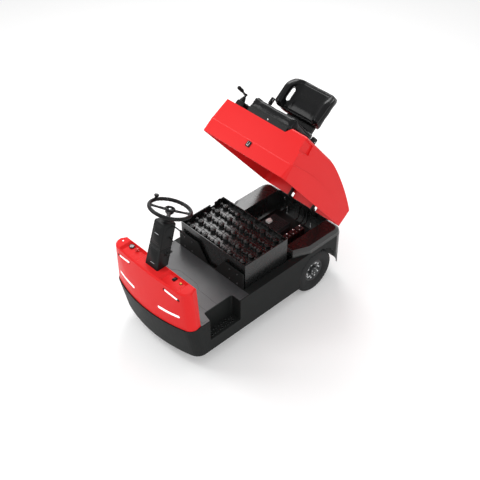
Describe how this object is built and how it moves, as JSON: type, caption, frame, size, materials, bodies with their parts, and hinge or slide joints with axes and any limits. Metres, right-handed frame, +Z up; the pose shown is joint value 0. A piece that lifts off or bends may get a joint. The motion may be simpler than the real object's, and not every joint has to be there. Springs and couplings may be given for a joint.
{
  "type": "seat-type electric tow tractor with tilting seat hood",
  "caption": "Low electric tow tractor for baggage carts: red cowl and seat hood tilted open over a battery, black chassis, steering wheel and rear tow jaw.",
  "frame": {"origin": "on the floor, in the middle of the length and width of the part with its hood open", "axes": "+X towards the cowl and bumper, +Y to the driver's left, +Z up"},
  "size_m": [1.9839, 0.93, 1.767],
  "materials": {
    "black_steel": "satin",
    "red_shell": "gloss",
    "battery_black": "gloss",
    "tyre_rubber": "matte",
    "dark_casting": "satin",
    "seat_vinyl": "satin",
    "black_plastic": "satin",
    "mat_rubber": "matte",
    "controller_alloy": "satin",
    "contactor_red": "satin",
    "tail_red": "gloss",
    "lamp_white": "gloss"
  },
  "bodies": {
    "chassis": {"skirt_left": "black_steel", "skirt_right": "black_steel", "bumper_front": "black_steel", "floor_plate": "black_steel", "floor_mat": "mat_rubber", "step_left": "black_steel", "step_right": "black_steel", "battery_pan": "black_steel", "battery_panel": "black_steel", "battery_case": "battery_black", "battery_cells": "battery_black", "fender_left": "black_steel", "fender_right": "black_steel", "rear_wall": "black_steel", "hinge_brackets": "black_steel", "bay_rails": "black_steel", "bay_shelf": "black_steel", "controller": "controller_alloy", "contactors": "contactor_red", "drive_axle": "dark_casting", "drive_motor": "dark_casting", "tow_coupling": "black_steel", "tail_lamps": "tail_red", "steer_head": "black_steel", "cowl": "red_shell", "headlamps": "lamp_white", "lamp_pockets": "black_plastic", "dash_controls": "black_plastic", "steering_column": "black_plastic", "pedals": "black_plastic"},
    "hood": {"hood_shell": "red_shell", "hood_arms": "black_steel", "hood_latch": "black_plastic", "seat_base": "black_plastic", "seat_cushion": "seat_vinyl", "seat_back": "seat_vinyl", "belt_buckles": "black_plastic", "lever_console": "black_plastic"},
    "steer_fork": {"steer_fork": "black_steel"},
    "front_wheel": {"front_tyre": "tyre_rubber", "front_rim": "dark_casting"},
    "rear_left_wheel": {"rear_tyre_left": "tyre_rubber", "rear_rim_left": "dark_casting"},
    "rear_right_wheel": {"rear_tyre_right": "tyre_rubber", "rear_rim_right": "dark_casting"},
    "steering_wheel": {"steering_wheel": "black_plastic", "spinner_knob": "black_plastic"}
  },
  "joints": [
    {"name": "hood_hinge", "type": "hinge", "parent": "chassis", "child": "hood", "pos_m": [-0.818, 0, 0.535], "axis": [0, -1, 0], "range_deg": [-51, 0]},
    {"name": "steer", "type": "hinge", "parent": "chassis", "child": "steer_fork", "pos_m": [0.616, 0, 0.35], "axis": [0, 0, 1], "range_deg": [-75, 75]},
    {"name": "front_wheel_spin", "type": "hinge", "parent": "steer_fork", "child": "front_wheel", "pos_m": [0.616, 0, 0.155], "axis": [0, 1, 0], "continuous": true},
    {"name": "rear_left_spin", "type": "hinge", "parent": "chassis", "child": "rear_left_wheel", "pos_m": [-0.524, 0.402, 0.2075], "axis": [0, 1, 0], "continuous": true},
    {"name": "rear_right_spin", "type": "hinge", "parent": "chassis", "child": "rear_right_wheel", "pos_m": [-0.524, -0.402, 0.2075], "axis": [0, 1, 0], "continuous": true},
    {"name": "steering_wheel_turn", "type": "hinge", "parent": "chassis", "child": "steering_wheel", "pos_m": [0.672, 0, 1.319], "axis": [-0.3338, 0, 0.9426], "range_deg": [-600, 600]}
  ],
  "couplings": [
    {"joint": "steering_wheel_turn", "follows": "steer", "ratio": 8}
  ]
}
